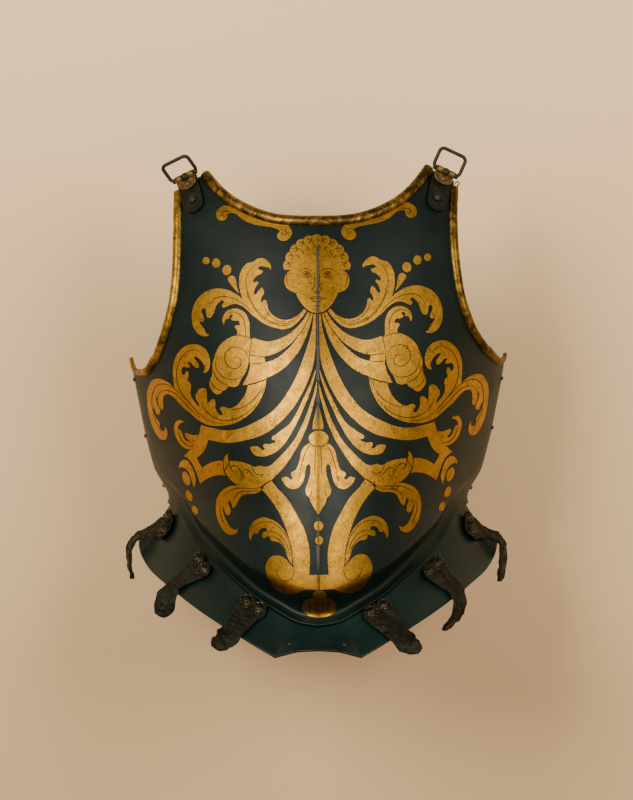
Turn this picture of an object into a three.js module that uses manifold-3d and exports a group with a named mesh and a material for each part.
// Breastplate of a peascod cuirass with its waist lame, six tasset straps and two shoulder buckles.
// Millimetres, +Z up, the front faces -Y and the wearer's right is at -X. The origin lies between the two
// side edges (y = 0) on the middle line, level with the corners of the waist.
import * as THREE from "three";
import { mergeVertices } from "three/addons/utils/BufferGeometryUtils.js";
import Module from "manifold-3d";

const wasm = await Module();
wasm.setup();

// ---- driving dimensions -------------------------------------------------------------------------------
const PLATE_THICK = 2.0;
const LAME_THICK = 1.8;
const STRAP_THICK = 2.6;
const GAP = 0.35; // between pieces that touch
const RIDGE = 0.12; // how sharply the two halves meet at the ridge down the middle
const ROUND = 1.3; // power of the cosine that shapes the plan from the ridge to the side edge

// The trunk of the plate at each height: half its width, and its depth at the ridge.
const TRUNK = [
  { z: -150, half: 141, depth: 186 },
  { z: -113, half: 143, depth: 189 },
  { z: -60, half: 147, depth: 191 },
  { z: -20, half: 147, depth: 189 },
  { z: 0, half: 146, depth: 186 },
  { z: 18, half: 151.5, depth: 183 },
  { z: 40, half: 158.5, depth: 179 },
  { z: 65, half: 165, depth: 174 },
  { z: 89, half: 170, depth: 168 },
  { z: 120, half: 176, depth: 160 },
  { z: 140, half: 179, depth: 155 },
  { z: 200, half: 184, depth: 136 },
  { z: 275, half: 176, depth: 108 },
  { z: 330, half: 156, depth: 74 },
];
// Height of the waist edge at each angle round the trunk, from the ridge (0) to the side edge (90).
const WAIST = [
  { angle: 0, z: -113 },
  { angle: 9, z: -109.5 },
  { angle: 18, z: -99 },
  { angle: 28, z: -85.5 },
  { angle: 36, z: -71 },
  { angle: 43, z: -58 },
  { angle: 54, z: -39 },
  { angle: 68, z: -9 },
  { angle: 80, z: -1 },
  { angle: 90, z: 2 },
];
const TUCK_HIGH = 34; // the belly turns in over this height above the waist edge
const TUCK_LOW = 9; // and out again below this height, as a flange
const TUCK = { side: 5, front: 22 }; // how far in, at the side edges and added at the front
const FLANGE = { side: 3, front: 5 }; // how far out again
// Upper edges of the two halves, which hammer work left a little unlike: the neck from the ridge outwards,
// the armhole from the shoulder down to where it turns, and its bottom from there to the side edge.
const NECK = {
  left: [[0, 270], [20, 270.3], [40, 272], [60, 278], [80, 288], [94, 299], [108, 315]],
  right: [[0, 270], [20, 270.5], [40, 273.3], [60, 280], [80, 291.7], [94, 305], [106, 321]],
};
const ARMHOLE = {
  left: [[133, 305], [133.6, 283], [133.8, 255], [134.8, 222], [137.6, 195], [141, 180], [145.7, 163], [154.3, 139]],
  right: [[130, 309], [128.8, 280], [129.3, 252], [131.6, 226], [136.6, 196.5], [145.3, 171.5], [151.5, 160], [160.3, 147.5]],
};
const ARMPIT = {
  left: [{ angle: 60.3, z: 139 }, { angle: 66, z: 128.5 }, { angle: 74, z: 126 }, { angle: 82, z: 129 }, { angle: 90, z: 140 }],
  right: [{ angle: 64, z: 147.5 }, { angle: 70, z: 140.5 }, { angle: 76, z: 137 }, { angle: 83, z: 138.5 }, { angle: 90, z: 144 }],
};
const SEAM_HEIGHT = 132; // height at the ridge of the row of the grid that runs to the two armpits
const WAIST_SPREAD = 60; // angle of the waist edge below the armpit

// Grid of the plate: columns from the ridge to the shoulder edge, across the shoulder, and round the side.
const NECK_COLUMNS = 9;
const SHOULDER_COLUMNS = 2;
const SIDE_COLUMNS = 4;
const TUCK_ROWS = [0, 4, 9, 15, 21, 28, 34];
const LOWER_ROWS = 8;
const UPPER_ROWS = 11;

const ROLL = { arm: { high: 4.7, deep: 4.4 }, neck: { high: 5.2, deep: 4.2 }, sides: 8, proud: 0.9, tip: 0.4 };

// Lower edge of the waist lame at each angle, straight between the rows, with a notch at the front.
const LAME_EDGE = [
  { angle: 0, z: -135.6 },
  { angle: 6.9, z: -137 },
  { angle: 13.8, z: -142.6 },
  { angle: 24, z: -125.8 },
  { angle: 32, z: -113 },
  { angle: 49, z: -87 },
  { angle: 58.5, z: -74 },
  { angle: 68, z: -63.5 },
  { angle: 76, z: -53 },
  { angle: 84, z: -43 },
  { angle: 90, z: -34 },
];
const LAME = { half: 172, depth: 199, overlap: 10, clear: 1.2, dish: 3 };
const LAME_COLUMNS = { notch: 3, side: 13 };
const LAME_ROWS = 5;

// Tasset straps: middle line as seen from the front, and width. Rows with y = null lie on the lame. Past its
// edge y places the middle line, and edge is how far the leather is turned edge-on. The two rosettes sit side
// by side across row 1, the broadest part of the head.
const STRAPS = {
  left_outer: [
    { x: -136.5, z: -16, wide: 24, y: null },
    { x: -141.5, z: -20, wide: 29, y: null },
    { x: -149, z: -23.5, wide: 25, y: null },
    { x: -160.5, z: -25.5, wide: 19, y: -11.5, edge: 62 },
    { x: -171.5, z: -30.5, wide: 19, y: -11, edge: 66 },
    { x: -179, z: -38, wide: 19, y: -11, edge: 74 },
    { x: -181.3, z: -48, wide: 19, y: -10.5, edge: 82 },
    { x: -180, z: -60, wide: 19, y: -10, edge: 84 },
    { x: -177.3, z: -71.5, wide: 18, y: -9.5, edge: 80 },
  ],
  left_middle: [
    { x: -104.5, z: -54.5, wide: 29, y: null },
    { x: -109, z: -58.5, wide: 34, y: null },
    { x: -117, z: -65, wide: 28, y: null },
    { x: -127.8, z: -72.2, wide: 21, y: null },
    { x: -136.8, z: -79.7, wide: 20, y: null },
    { x: -145, z: -89.8, wide: 21, y: -96, edge: 24 },
    { x: -147, z: -100.5, wide: 20, y: -95, edge: 18 },
    { x: -147.5, z: -107.5, wide: 12, y: -94, edge: 18 },
  ],
  left_inner: [
    { x: -56.5, z: -92.5, wide: 30, y: null },
    { x: -60.5, z: -96.5, wide: 35, y: null },
    { x: -67, z: -104, wide: 30, y: null },
    { x: -74.5, z: -113, wide: 25, y: null },
    { x: -81.5, z: -121, wide: 25, y: null },
    { x: -89.5, z: -127.8, wide: 20, y: -172, edge: 5 },
    { x: -96, z: -131.2, wide: 15, y: -177, edge: 8 },
    { x: -100, z: -133.2, wide: 9, y: -180, edge: 8 },
  ],
  right_inner: [
    { x: 51.5, z: -96.5, wide: 30, y: null },
    { x: 55.5, z: -100.5, wide: 35, y: null },
    { x: 62, z: -109, wide: 31, y: null },
    { x: 71, z: -118.5, wide: 25, y: null },
    { x: 79, z: -126.5, wide: 24, y: null },
    { x: 86.5, z: -131.5, wide: 20, y: -177, edge: 5 },
    { x: 93, z: -134, wide: 14, y: -182, edge: 8 },
    { x: 97.5, z: -134.6, wide: 9, y: -185, edge: 8 },
  ],
  right_middle: [
    { x: 103.5, z: -56.5, wide: 29, y: null },
    { x: 107.5, z: -60.5, wide: 34, y: null },
    { x: 115, z: -68.5, wide: 29, y: null },
    { x: 124, z: -77, wide: 24, y: null },
    { x: 130, z: -83.5, wide: 22, y: null },
    { x: 134.5, z: -94.5, wide: 19, y: -107, edge: 50 },
    { x: 132, z: -104.5, wide: 19, y: -104, edge: 63 },
    { x: 126, z: -112.5, wide: 18, y: -101, edge: 74 },
    { x: 119.5, z: -119.5, wide: 17, y: -98, edge: 80 },
  ],
  right_outer: [
    { x: 137, z: -17, wide: 24, y: null },
    { x: 142, z: -21, wide: 29, y: null },
    { x: 150, z: -25, wide: 25, y: null },
    { x: 161.5, z: -27.5, wide: 19, y: -11.5, edge: 62 },
    { x: 171, z: -31.5, wide: 19, y: -11, edge: 64 },
    { x: 176.5, z: -37.5, wide: 19, y: -11, edge: 70 },
    { x: 177.5, z: -48, wide: 19, y: -10.5, edge: 74 },
    { x: 176, z: -61, wide: 19, y: -10, edge: 68 },
    { x: 174, z: -73.5, wide: 15, y: -9.5, edge: 66 },
  ],
};
const ROSETTE_SPACING = 16;
const STRAP_CLEAR = 1.25; // between a strap and the curved lame under it, and the rosettes on it
const STRAP_SECTIONS = 15;
const ROSETTE = { radius: 7.8, rim: 1.1, dome: 3.2, tall: 3.2, pearls: 8, pearl: 1.2, ring: 6.0 };

// Shoulder fittings: foot and head of the leather tab as seen from the front, its rivet, and the buckle.
const SHOULDERS = {
  left: { foot: [-115.8, 278.5], head: [-124.5, 311], stud: [-118, 290], bar: [-123.4, 310], lean: -64, slant: 26 },
  right: { foot: [111.2, 279.5], head: [117.2, 309.5], stud: [112, 291.5], bar: [118.4, 314.6], lean: -33, slant: -25 },
};
const TAB = { wide: 22.4, thick: 2.4, sections: 10 };
const BUCKLE = {
  wide: 28, // between the middles of the frame's two sides
  tall: 20, // from the hinge bar to the middle of the far side
  wire: 1.6, // radius of the frame
  corner: 4.5,
  plateWide: 20,
  plateLong: 13,
  plateThick: 1.2,
  eye: 2.0, // radius of the bore that the hinge bar turns in
  slot: 6.4, // gap in the folded edge, where the root of the tongue shows
};
const STUD = { tab: 3.4, plate: 3.0, side: 2.1, lame: 2.2, sides: 10 };
const SIDE_STUDS = {
  left: [119.5, 65.5, 18],
  right: [120.5, 73.5, 16],
};
const LAME_STUDS = { left: [-26.7, -130.8], right: [24.8, -131.6] };

// ---- materials -----------------------------------------------------------------------------------------
const finish = (color, roughness, metalness) => new THREE.MeshStandardMaterial({ color, roughness, metalness });
const BLUED_STEEL = finish(0x17282a, 0.42, 0.75);
const DARK_IRON = finish(0x241d17, 0.6, 0.7);
const GILT_BRASS = finish(0x8a6a34, 0.45, 0.8);
const LEATHER = finish(0x2a2419, 0.75, 0.0);

// ---- small helpers -------------------------------------------------------------------------------------
const radians = (degrees) => (degrees * Math.PI) / 180;
const mix = THREE.MathUtils.lerp;

// Value at x of the smooth curve through the rows of a table, and of its straight-line version.
function curveAt(rows, xKey, yKey, x) {
  const last = rows.length - 1;
  const at = THREE.MathUtils.clamp(x, rows[0][xKey], rows[last][xKey]);
  let i = 0;
  while (i < last - 1 && rows[i + 1][xKey] < at) i += 1;
  const slope = (j) => {
    const a = rows[Math.max(j - 1, 0)];
    const b = rows[Math.min(j + 1, last)];
    return (b[yKey] - a[yKey]) / (b[xKey] - a[xKey]);
  };
  const span = rows[i + 1][xKey] - rows[i][xKey];
  const t = (at - rows[i][xKey]) / span;
  const [p, q] = [rows[i][yKey], rows[i + 1][yKey]];
  const [m, n] = [slope(i) * span, slope(i + 1) * span];
  return (2 * t ** 3 - 3 * t ** 2 + 1) * p + (t ** 3 - 2 * t ** 2 + t) * m + (3 * t ** 2 - 2 * t ** 3) * q + (t ** 3 - t ** 2) * n;
}

function lineAt(rows, xKey, yKey, x) {
  let i = 0;
  while (i < rows.length - 2 && rows[i + 1][xKey] < x) i += 1;
  const t = (x - rows[i][xKey]) / (rows[i + 1][xKey] - rows[i][xKey]);
  return mix(rows[i][yKey], rows[i + 1][yKey], t);
}

// A geometry from corner points and triangles.
function geometryFrom(points, triangles) {
  const geometry = new THREE.BufferGeometry();
  geometry.setAttribute("position", new THREE.Float32BufferAttribute(points.flatMap((p) => [p.x, p.y, p.z]), 3));
  geometry.setIndex(triangles.flat());
  return geometry;
}

// Corner normals of an open sheet of triangles.
function sheetNormals(points, triangles) {
  const geometry = geometryFrom(points, triangles);
  geometry.computeVertexNormals();
  const normal = geometry.getAttribute("normal");
  return points.map((_, i) => new THREE.Vector3().fromBufferAttribute(normal, i));
}

// A sheet of triangles made a wall: its inner face is set back along the normals, and the edges are closed.
function wall(points, triangles, thick) {
  const normals = sheetNormals(points, triangles);
  const count = points.length;
  const inner = points.map((p, i) => p.clone().addScaledVector(normals[i], -thick));
  const faces = [...triangles, ...triangles.map(([a, b, c]) => [a + count, c + count, b + count])];
  const single = new Map();
  for (const [a, b, c] of triangles) {
    for (const [p, q] of [[a, b], [b, c], [c, a]]) {
      if (single.has(`${q},${p}`)) single.delete(`${q},${p}`);
      else single.set(`${p},${q}`, [p, q]);
    }
  }
  for (const [p, q] of single.values()) {
    faces.push([q, p, p + count], [q, p + count, q + count]);
  }
  return geometryFrom([...points, ...inner], faces);
}

// Rings of corner points joined into a closed body, either capped at both ends or closed on itself.
function loft(rings, closed = false) {
  const sides = rings[0].length;
  const points = rings.flat();
  const faces = [];
  const spans = closed ? rings.length : rings.length - 1;
  for (let i = 0; i < spans; i += 1) {
    const a = i * sides;
    const b = ((i + 1) % rings.length) * sides;
    for (let j = 0; j < sides; j += 1) {
      const k = (j + 1) % sides;
      faces.push([a + j, a + k, b + k], [a + j, b + k, b + j]);
    }
  }
  if (!closed) {
    const end = (rings.length - 1) * sides;
    for (let j = 1; j < sides - 1; j += 1) {
      faces.push([0, j + 1, j], [end, end + j, end + j + 1]);
    }
  }
  return facingOut(geometryFrom(points, faces));
}

// The same geometry with its faces turned round if they point inwards.
function facingOut(geometry) {
  const index = geometry.getIndex();
  const position = geometry.getAttribute("position");
  const corner = (i) => new THREE.Vector3().fromBufferAttribute(position, index.getX(i));
  let volume = 0;
  for (let i = 0; i < index.count; i += 3) {
    volume += corner(i).dot(corner(i + 1).cross(corner(i + 2)));
  }
  if (volume < 0) {
    for (let i = 0; i < index.count; i += 3) {
      const second = index.getX(i + 1);
      index.setX(i + 1, index.getX(i + 2));
      index.setX(i + 2, second);
    }
  }
  return geometry;
}

function solidOf(geometry) {
  const bare = geometry.clone();
  bare.deleteAttribute("normal");
  bare.deleteAttribute("uv");
  const merged = mergeVertices(bare, 1e-4);
  const vertProperties = new Float32Array(merged.getAttribute("position").array);
  const triVerts = new Uint32Array(merged.getIndex().array);
  return new wasm.Manifold(new wasm.Mesh({ numProp: 3, vertProperties, triVerts }));
}

function geometryOf(solid) {
  const mesh = solid.getMesh();
  const geometry = new THREE.BufferGeometry();
  geometry.setAttribute("position", new THREE.BufferAttribute(mesh.vertProperties, 3));
  geometry.setIndex(new THREE.BufferAttribute(mesh.triVerts, 1));
  return geometry;
}

function piece(name, geometry, material) {
  const mesh = new THREE.Mesh(geometry, material);
  mesh.name = name;
  return mesh;
}

// ---- the plate's surface -------------------------------------------------------------------------------
const halfWidth = (z) => curveAt(TRUNK, "z", "half", z);
const ridgeDepth = (z) => curveAt(TRUNK, "z", "depth", z);
const waistHeight = (angle) => curveAt(WAIST, "angle", "z", Math.abs(angle));

// Point of the trunk at an angle from the ridge (degrees, right is positive) and a height.
function trunkPoint(angle, z) {
  const sine = Math.sin(radians(angle));
  const cosine = Math.max(Math.cos(radians(angle)), 0);
  const y = -ridgeDepth(z) * cosine ** ROUND * (1 - RIDGE * Math.abs(sine));
  return new THREE.Vector3(halfWidth(z) * sine, y, z);
}

// How far the belly is turned in, at a height above the waist edge.
function tuckAt(angle, above) {
  const front = Math.cos(radians(angle)) ** 2;
  const inward = (TUCK.side + TUCK.front * front) * (1 - THREE.MathUtils.smoothstep(above, TUCK_LOW, TUCK_HIGH));
  const outward = (FLANGE.side + FLANGE.front * front) * Math.max(1 - above / TUCK_LOW, 0) ** 2;
  return inward - outward;
}

// Point of the plate's outer face at an angle and a height above the waist edge.
function platePoint(angle, above) {
  const point = trunkPoint(angle, waistHeight(angle) + above);
  const tuck = tuckAt(angle, above);
  point.x -= tuck * Math.sin(radians(angle));
  point.y += tuck * Math.cos(radians(angle));
  return point;
}

// Point of the plate's outer face that lies behind x and z, as seen from the front, above the tuck.
function plateBehind(x, z) {
  const angle = THREE.MathUtils.radToDeg(Math.asin(THREE.MathUtils.clamp(x / halfWidth(z), -1, 1)));
  return trunkPoint(angle, z);
}

// Outward normal of a surface given by two parameters, from steps to either side.
function normalOf(surface, u, v, step) {
  const across = surface(u + step, v).sub(surface(u - step, v));
  const up = surface(u, v + step).sub(surface(u, v - step));
  return across.cross(up).normalize();
}

// ---- breastplate ---------------------------------------------------------------------------------------
const flat = ([x, z]) => new THREE.Vector2(x, z);

// Corner points of one half, column by column: side is -1 for the left half and 1 for the right.
function halfGrid(side) {
  const hand = side < 0 ? "left" : "right";
  const neck = new THREE.SplineCurve(NECK[hand].map(flat));
  const armhole = new THREE.SplineCurve(ARMHOLE[hand].map(flat).reverse());
  const shoulderIn = flat(NECK[hand].at(-1));
  const shoulderOut = flat(ARMHOLE[hand][0]);
  const pit = flat(ARMHOLE[hand].at(-1));
  const inner = NECK_COLUMNS + SHOULDER_COLUMNS;
  const top = (i) =>
    i <= NECK_COLUMNS
      ? neck.getPointAt(i / NECK_COLUMNS)
      : shoulderIn.clone().lerp(shoulderOut, (i - NECK_COLUMNS) / SHOULDER_COLUMNS);
  const seam = (i) => {
    const c = i / inner;
    return new THREE.Vector2(pit.x * c, mix(SEAM_HEIGHT, pit.y, c * c));
  };
  const angleOf = (p) => THREE.MathUtils.radToDeg(Math.asin(Math.min(p.x / halfWidth(p.y), 1)));
  const columns = [];
  for (let i = 0; i <= inner + SIDE_COLUMNS; i += 1) {
    const column = [];
    const beyond = Math.max(i - inner, 0) / SIDE_COLUMNS;
    const low = beyond > 0 ? mix(WAIST_SPREAD, 90, beyond) : (WAIST_SPREAD * i) / inner;
    const high = beyond > 0 ? mix(ARMPIT[hand][0].angle, 90, beyond) : angleOf(seam(i));
    const highZ = beyond > 0 ? curveAt(ARMPIT[hand], "angle", "z", high) : seam(i).y;
    for (const above of TUCK_ROWS) column.push(platePoint(side * low, above));
    const lowZ = waistHeight(low) + TUCK_HIGH;
    for (let row = 1; row <= LOWER_ROWS; row += 1) {
      const t = row / LOWER_ROWS;
      column.push(trunkPoint(side * mix(low, high, t), mix(lowZ, highZ, t)));
    }
    for (let row = 1; beyond === 0 && row <= UPPER_ROWS; row += 1) {
      const [c, r] = [i / inner, row / UPPER_ROWS];
      const edge = armhole.getPointAt(r);
      const ridgeZ = mix(SEAM_HEIGHT, neck.getPointAt(0).y, r);
      const [bottom, upper] = [seam(i), top(i)];
      const x = c * edge.x + (1 - r) * bottom.x + r * upper.x - c * mix(pit.x, shoulderOut.x, r);
      const ends = (1 - c) * mix(SEAM_HEIGHT, NECK[hand][0][1], r) + c * mix(pit.y, shoulderOut.y, r);
      const z = (1 - c) * ridgeZ + c * edge.y + (1 - r) * bottom.y + r * upper.y - ends;
      column.push(plateBehind(side * x, z));
    }
    columns.push(column);
  }
  return columns;
}

// The whole sheet, with the columns of both halves in one list from left to right.
function plateSheet() {
  const left = halfGrid(-1).slice(1).reverse();
  const columns = [...left, ...halfGrid(1)];
  const start = [];
  const points = [];
  for (const column of columns) {
    start.push(points.length);
    points.push(...column);
  }
  const triangles = [];
  for (let i = 0; i < columns.length - 1; i += 1) {
    const rows = Math.min(columns[i].length, columns[i + 1].length);
    for (let j = 0; j < rows - 1; j += 1) {
      const [a, b] = [start[i] + j, start[i + 1] + j];
      if (i < left.length) triangles.push([a, b, a + 1], [b, b + 1, a + 1]);
      else triangles.push([a, b, b + 1], [a, b + 1, a + 1]);
    }
  }
  return { points, triangles, columns, start };
}

// A turned edge: an oval roll along a row of the sheet's edge points, drawn thin over its last few points.
function roll(sheet, normals, row, size, thinned) {
  const rings = row.map((index, i) => {
    const thin = thinned ? mix(ROLL.tip, 1, Math.min((row.length - 1 - i) / thinned, 1)) : 1;
    const before = sheet.points[row[Math.max(i - 1, 0)]];
    const after = sheet.points[row[Math.min(i + 1, row.length - 1)]];
    const forward = after.clone().sub(before).normalize();
    const out = normals[index];
    const side = forward.clone().cross(out).normalize();
    const centre = sheet.points[index].clone().addScaledVector(out, ROLL.proud - PLATE_THICK / 2);
    const ring = [];
    for (let k = 0; k < ROLL.sides; k += 1) {
      const turn = (2 * Math.PI * (k + 0.5)) / ROLL.sides;
      ring.push(
        centre
          .clone()
          .addScaledVector(out, thin * size.deep * Math.cos(turn))
          .addScaledVector(side, thin * size.high * Math.sin(turn)),
      );
    }
    return ring;
  });
  return solidOf(loft(rings));
}

function breastplate() {
  const sheet = plateSheet();
  const normals = sheetNormals(sheet.points, sheet.triangles);
  const inner = NECK_COLUMNS + SHOULDER_COLUMNS;
  const middle = inner + SIDE_COLUMNS;
  const lowerTop = TUCK_ROWS.length + LOWER_ROWS - 1;
  const highest = lowerTop + UPPER_ROWS;
  const neckRow = [];
  for (let i = -NECK_COLUMNS; i <= NECK_COLUMNS; i += 1) neckRow.push(sheet.start[middle + i] + highest);
  const armRow = (side) => {
    const row = [];
    const shoulder = sheet.start[middle + side * inner];
    for (let j = highest - 1; j > lowerTop; j -= 1) row.push(shoulder + j);
    for (let i = inner; i <= middle; i += 1) row.push(sheet.start[middle + side * i] + lowerTop);
    return row;
  };
  const solid = solidOf(wall(sheet.points, sheet.triangles, PLATE_THICK))
    .add(roll(sheet, normals, neckRow, ROLL.neck, 0))
    .add(roll(sheet, normals, armRow(-1), ROLL.arm, SIDE_COLUMNS))
    .add(roll(sheet, normals, armRow(1), ROLL.arm, SIDE_COLUMNS));
  return piece("breastplate", geometryOf(solid), BLUED_STEEL);
}

// ---- waist lame ----------------------------------------------------------------------------------------
// Point of the lame's outer face: down = 0 is level with the waist edge and 1 is the lame's lower edge, and
// above the waist edge it follows the inside of the flange.
function lamePoint(angle, down) {
  const inset = PLATE_THICK + LAME.clear;
  const above = Math.max(-down, 0);
  const top = platePoint(angle, above);
  top.addScaledVector(normalOf(platePoint, angle, above + 0.6, 0.5), -inset);
  if (down <= 0) return top;
  const sine = Math.sin(radians(angle));
  const cosine = Math.max(Math.cos(radians(angle)), 0);
  const foot = new THREE.Vector3(
    LAME.half * sine,
    -LAME.depth * cosine ** ROUND * (1 - RIDGE * Math.abs(sine)),
    lineAt(LAME_EDGE, "angle", "z", Math.abs(angle)),
  );
  const point = top.lerp(foot, down);
  const dish = LAME.dish * Math.sin(Math.PI * down);
  point.x -= dish * sine;
  point.y += dish * cosine;
  return point;
}

function lameAngles() {
  const notch = LAME_EDGE[2].angle;
  const right = [0];
  for (let i = 1; i <= LAME_COLUMNS.notch; i += 1) right.push((notch * i) / LAME_COLUMNS.notch);
  for (let i = 1; i <= LAME_COLUMNS.side; i += 1) right.push(mix(notch, 89, i / LAME_COLUMNS.side));
  return [...right.slice(1).map((angle) => -angle).reverse(), ...right];
}

function waistLame() {
  const downs = [-LAME.overlap, -LAME.overlap / 2];
  for (let i = 0; i <= LAME_ROWS; i += 1) downs.push(i / LAME_ROWS);
  const points = [];
  const triangles = [];
  const angles = lameAngles();
  angles.forEach((angle, i) => {
    downs.forEach((down, j) => {
      points.push(lamePoint(angle, down));
      if (i === 0 || j === 0) return;
      const d = i * downs.length + j;
      const c = d - 1;
      const [a, b] = [c - downs.length, d - downs.length];
      triangles.push([a, b, d], [a, d, c]);
    });
  });
  return piece("waist_lame", wall(points, triangles, LAME_THICK), BLUED_STEEL);
}

// Where the lame's outer face lies behind x and z as seen from the front: the point and the normal there.
function onLame(x, z) {
  let angle = THREE.MathUtils.radToDeg(Math.asin(THREE.MathUtils.clamp(x / 165, -0.98, 0.98)));
  let down = 0.5;
  const step = 0.02;
  for (let i = 0; i < 25; i += 1) {
    const at = lamePoint(angle, down);
    const byAngle = lamePoint(angle + step, down).sub(at).divideScalar(step);
    const byDown = lamePoint(angle, down + step).sub(at).divideScalar(step);
    const [dx, dz] = [x - at.x, z - at.z];
    const across = byAngle.x * byDown.z - byAngle.z * byDown.x;
    angle = THREE.MathUtils.clamp(angle + 0.7 * ((dx * byDown.z - dz * byDown.x) / across), -87, 87);
    down = THREE.MathUtils.clamp(down + 0.7 * ((dz * byAngle.x - dx * byAngle.z) / across), 0.02, 1.3);
  }
  const point = lamePoint(angle, down);
  const normal = normalOf((u, v) => lamePoint(u, v / 40), angle, down * 40, 0.6).negate();
  return { point, normal };
}

// ---- leather straps ------------------------------------------------------------------------------------
// A flat strip of leather through sections that give its middle, width direction and outward direction.
function strip(sections, thick) {
  const rings = sections.map(({ middle, across, out, wide }) => {
    const corner = (u, v) =>
      middle.clone().addScaledVector(across, (u * wide) / 2).addScaledVector(out, (v * thick) / 2);
    return [corner(-1, -0.6), corner(-0.94, -1), corner(0.94, -1), corner(1, -0.6), corner(1, 0.6), corner(0.94, 1), corner(-0.94, 1), corner(-1, 0.6)];
  });
  return loft(rings);
}

function strapSections(rows) {
  const stations = rows.map((row) => {
    const seat = row.y === null ? onLame(row.x, row.z) : null;
    const lift = STRAP_CLEAR + STRAP_THICK / 2;
    const middle = seat ? seat.point.addScaledVector(seat.normal, lift) : new THREE.Vector3(row.x, row.y, row.z);
    return { middle, normal: seat ? seat.normal : null, row };
  });
  const widths = stations.map((station, i) => {
    const before = stations[Math.max(i - 1, 0)].middle;
    const after = stations[Math.min(i + 1, stations.length - 1)].middle;
    const forward = after.clone().sub(before).normalize();
    if (station.normal) return stations[i <= 2 ? 1 : i].normal.clone().cross(forward).normalize();
    const side = new THREE.Vector3(-forward.z, 0, forward.x).normalize();
    const turn = radians(station.row.edge);
    const behind = new THREE.Vector3(0, Math.sign(station.row.x), 0);
    return side.multiplyScalar(Math.cos(turn)).addScaledVector(behind, Math.sin(turn)).normalize();
  });
  const path = new THREE.CatmullRomCurve3(stations.map((s) => s.middle), false, "centripetal");
  const table = rows.map((row, i) => ({ at: i, wide: row.wide, ux: widths[i].x, uy: widths[i].y, uz: widths[i].z }));
  const sections = [];
  for (let i = 0; i < STRAP_SECTIONS; i += 1) {
    const t = i / (STRAP_SECTIONS - 1);
    const at = t * (rows.length - 1);
    const middle = path.getPoint(t);
    const forward = path.getTangent(t);
    const across = new THREE.Vector3(
      curveAt(table, "at", "ux", at),
      curveAt(table, "at", "uy", at),
      curveAt(table, "at", "uz", at),
    );
    across.addScaledVector(forward, -across.dot(forward)).normalize();
    const out = forward.clone().cross(across).normalize();
    sections.push({ middle, across, out, wide: curveAt(table, "at", "wide", at) });
  }
  return sections;
}

function tassetStrap(name, rows) {
  return piece(`${name}_strap`, strip(strapSections(rows), STRAP_THICK), LEATHER);
}

// ---- rivets --------------------------------------------------------------------------------------------
// A mesh whose own +Z is turned to a direction and whose foot stands at a point.
function stand(mesh, point, direction) {
  mesh.quaternion.setFromUnitVectors(new THREE.Vector3(0, 0, 1), direction);
  mesh.position.copy(point);
  return mesh;
}

// A lathe turned so that its axis is +Z.
function turned(profile, sides) {
  const points = profile.map(([radius, height]) => new THREE.Vector2(radius, height));
  return new THREE.LatheGeometry(points, sides).rotateX(Math.PI / 2);
}

const dome = (radius, height) => turned([[0, 0], [radius, 0], [radius * 0.78, height * 0.65], [0, height]], STUD.sides);

// A rosette: a dished disc with a ring of pearls, every second point of its middle ring raised, and a dome.
function rosetteGeometry() {
  const { radius, rim, pearls, pearl, ring, dome: domeRadius, tall } = ROSETTE;
  const circle = (size, height, raised = 0) => {
    const points = [];
    for (let i = 0; i < 2 * pearls; i += 1) {
      const turn = (Math.PI * i) / pearls;
      points.push(new THREE.Vector3(size * Math.cos(turn), size * Math.sin(turn), height + (i % 2) * raised));
    }
    return points;
  };
  return loft([
    circle(radius, 0),
    circle(radius, rim * 0.6),
    circle(ring, rim, pearl),
    circle(domeRadius * 1.2, rim * 0.7),
    circle(domeRadius * 0.9, tall * 0.75),
    circle(domeRadius * 0.4, tall),
  ]);
}

function rosettes(name, rows, geometry) {
  const sections = strapSections(rows);
  const { middle, across, out } = sections[Math.round((STRAP_SECTIONS - 1) / (rows.length - 1))];
  return [-1, 1].map((end, i) => {
    const foot = middle
      .clone()
      .addScaledVector(across, (end * ROSETTE_SPACING) / 2)
      .addScaledVector(out, STRAP_THICK / 2 + STRAP_CLEAR);
    return stand(piece(`${name}_rosette_${i + 1}`, geometry, DARK_IRON), foot, out);
  });
}

function sideStuds() {
  const studs = [];
  for (const hand of ["left", "right"]) {
    const side = hand === "left" ? -1 : 1;
    SIDE_STUDS[hand].forEach((z, i) => {
      const angle = side * 87;
      const above = z - waistHeight(angle);
      const out = normalOf(platePoint, angle, above, 0.5);
      const foot = platePoint(angle, above).addScaledVector(out, GAP);
      const stud = piece(`${hand}_side_rivet_${i + 1}`, dome(STUD.side, 1.5), DARK_IRON);
      studs.push(stand(stud, foot, out));
    });
  }
  return studs;
}

function lameStuds() {
  return Object.entries(LAME_STUDS).map(([hand, [x, z]]) => {
    const { point, normal } = onLame(x, z);
    const foot = point.addScaledVector(normal, GAP);
    return stand(piece(`${hand}_lame_rivet`, dome(STUD.lame, 1.2), DARK_IRON), foot, normal);
  });
}

// ---- shoulder fittings ---------------------------------------------------------------------------------
const plateNormal = (x, z) => normalOf(plateBehind, x, z, 1);

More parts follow.
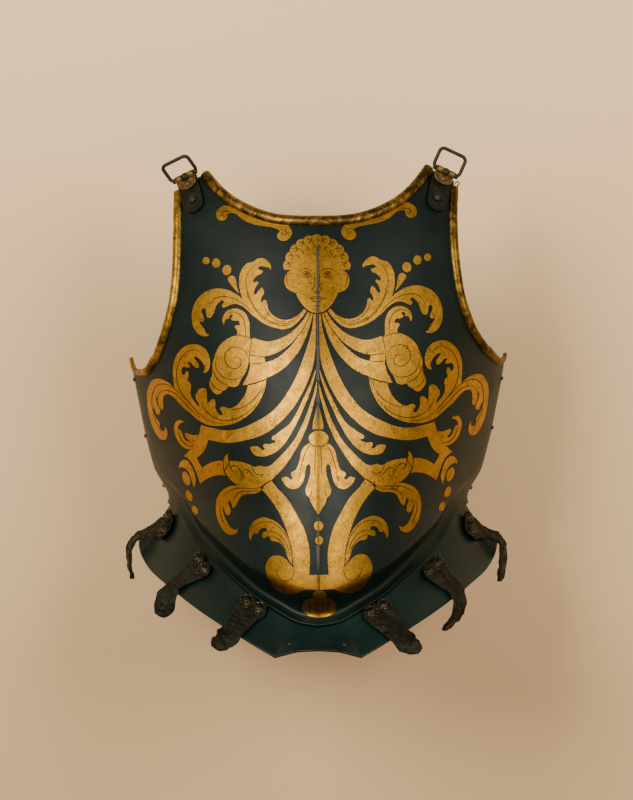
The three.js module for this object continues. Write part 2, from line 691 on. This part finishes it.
// Leather tab under the buckle, from its round foot to the shoulder.
function shoulderTab(hand) {
  const { foot, head } = SHOULDERS[hand];
  const lift = 2 * GAP + TAB.thick / 2;
  const seat = (t) => {
    const [x, z] = [mix(foot[0], head[0], t), mix(foot[1], head[1], t)];
    return plateBehind(x, z).addScaledVector(plateNormal(x, z), lift);
  };
  const sections = [];
  const long = Math.hypot(head[0] - foot[0], head[1] - foot[1]);
  for (let i = 0; i <= TAB.sections; i += 1) {
    const t = (i / TAB.sections) ** 1.6;
    const round = Math.min((t * long) / (TAB.wide / 2), 1);
    const [x, z] = [mix(foot[0], head[0], t), mix(foot[1], head[1], t)];
    const forward = seat(t + 0.02).sub(seat(t - 0.02)).normalize();
    const across = forward.clone().cross(plateNormal(x, z)).normalize();
    const out = across.clone().cross(forward).normalize();
    const wide = TAB.wide * Math.sqrt(Math.max(1 - (1 - round) ** 2, 0.05));
    sections.push({ middle: seat(t), across, out, wide });
  }
  return piece(`${hand}_shoulder_tab`, strip(sections, TAB.thick), LEATHER);
}

// Frame of reference of a buckle: x along the hinge bar, y up the shoulder and z away from the plate.
function buckleSeat(hand) {
  const { bar, slant } = SHOULDERS[hand];
  const out = plateNormal(bar[0], bar[1]);
  const along = new THREE.Vector3(Math.cos(radians(slant)), 0, Math.sin(radians(slant)));
  along.y = -along.dot(out) / out.y;
  along.normalize();
  const up = out.clone().cross(along);
  const seat = new THREE.Group();
  const rise = 3 * GAP + TAB.thick + BUCKLE.eye + BUCKLE.plateThick + 0.6;
  seat.position.copy(plateBehind(bar[0], bar[1])).addScaledVector(out, rise);
  seat.quaternion.setFromRotationMatrix(new THREE.Matrix4().makeBasis(along, up, out));
  return seat;
}

// Brass plate folded round the hinge bar: a leaf with a round end, and the eye along its upper edge.
function bucklePlateGeometry() {
  const { plateWide, plateLong, plateThick, eye, slot } = BUCKLE;
  const outer = eye + plateThick;
  const section = new THREE.Shape();
  section.moveTo(-plateLong, -outer);
  section.lineTo(0, -outer);
  section.absarc(0, 0, outer, -Math.PI / 2, Math.PI * 0.95, false);
  section.absarc(0, 0, eye, Math.PI * 0.95, -Math.PI / 2, true);
  section.lineTo(-plateLong, -eye);
  const swept = new THREE.ExtrudeGeometry(section, { depth: plateWide, bevelEnabled: false, curveSegments: 7 });
  swept.applyMatrix4(
    new THREE.Matrix4().makeBasis(new THREE.Vector3(0, 1, 0), new THREE.Vector3(0, 0, 1), new THREE.Vector3(1, 0, 0)),
  );
  swept.translate(-plateWide / 2, 0, 0);
  const outline = new THREE.Shape();
  const half = plateWide / 2;
  outline.moveTo(-half - 1, outer + 1);
  outline.lineTo(-half - 1, -plateLong + half * 0.8);
  outline.lineTo(-half, -plateLong + half * 0.8);
  outline.absellipse(0, -plateLong + half * 0.8, half, half * 0.8, Math.PI, 2 * Math.PI, false);
  outline.lineTo(half + 1, -plateLong + half * 0.8);
  outline.lineTo(half + 1, outer + 1);
  const around = new THREE.ExtrudeGeometry(outline, { depth: 4 * outer, bevelEnabled: false, curveSegments: 10 });
  around.translate(0, 0, -2 * outer);
  const gap = new THREE.BoxGeometry(slot, 4 * outer, 4 * outer);
  gap.translate(0, 2 * outer - eye - plateThick * 1.5, 0);
  return geometryOf(solidOf(swept).intersect(solidOf(around)).subtract(solidOf(gap)));
}

// Frame of round wire: a rectangle with round corners whose lower side is the hinge bar.
function buckleFrameGeometry() {
  const { wide, tall, wire, corner } = BUCKLE;
  const half = wide / 2;
  const corners = [
    [half - corner, tall - corner, 0],
    [-half + corner, tall - corner, 90],
    [-half + corner, corner, 180],
    [half - corner, corner, 270],
  ];
  const rings = [];
  for (const [x, y, start] of corners) {
    for (const turn of [0, 30, 60, 90]) {
      const angle = radians(start + turn);
      const outward = new THREE.Vector3(Math.cos(angle), Math.sin(angle), 0);
      const middle = new THREE.Vector3(x, y, 0).addScaledVector(outward, corner);
      const ring = [];
      for (let k = 0; k < 8; k += 1) {
        const around = radians(45 * k + 22.5);
        ring.push(
          middle
            .clone()
            .addScaledVector(outward, wire * Math.cos(around))
            .add(new THREE.Vector3(0, 0, wire * Math.sin(around))),
        );
      }
      rings.push(ring);
    }
  }
  return loft(rings, true);
}

// Root of the tongue: a collar on the hinge bar that shows in the slot of the folded edge.
function tongueRootGeometry() {
  const bore = BUCKLE.wire + GAP;
  const outer = BUCKLE.eye + BUCKLE.plateThick + 0.5;
  const half = BUCKLE.slot / 2 - 0.5;
  const collar = turned([[bore, -half], [outer - 0.6, -half], [outer, 0], [outer - 0.6, half], [bore, half], [bore, -half]], 10);
  return collar.rotateY(Math.PI / 2);
}

function shoulderBuckle(hand) {
  const seat = buckleSeat(hand);
  const under = -BUCKLE.eye;
  seat.add(piece(`${hand}_buckle_plate`, bucklePlateGeometry(), GILT_BRASS));
  const stud = piece(`${hand}_buckle_rivet`, dome(STUD.plate, 1.6), GILT_BRASS);
  stud.position.set(0, -BUCKLE.plateLong * 0.55, under + GAP);
  seat.add(stud);
  const swing = new THREE.Group();
  swing.rotation.x = radians(-SHOULDERS[hand].lean);
  swing.add(piece(`${hand}_buckle_frame`, buckleFrameGeometry(), DARK_IRON));
  swing.add(piece(`${hand}_tongue_root`, tongueRootGeometry(), DARK_IRON));
  seat.add(swing);
  return seat;
}

function tabStud(hand) {
  const [x, z] = SHOULDERS[hand].stud;
  const out = plateNormal(x, z);
  const foot = plateBehind(x, z).addScaledVector(out, 3 * GAP + TAB.thick + 0.2);
  return stand(piece(`${hand}_tab_rivet`, dome(STUD.tab, 1.8), DARK_IRON), foot, out);
}

// ---- the whole cuirass front -----------------------------------------------------------------------------
const group = new THREE.Group();
group.add(breastplate());
group.add(waistLame());
const rosetteShape = rosetteGeometry();
for (const [name, rows] of Object.entries(STRAPS)) {
  group.add(tassetStrap(name, rows));
  group.add(...rosettes(name, rows, rosetteShape));
}
for (const hand of ["left", "right"]) {
  group.add(shoulderTab(hand));
  group.add(tabStud(hand));
  group.add(shoulderBuckle(hand));
}
group.add(...sideStuds());
group.add(...lameStuds());

export default group;
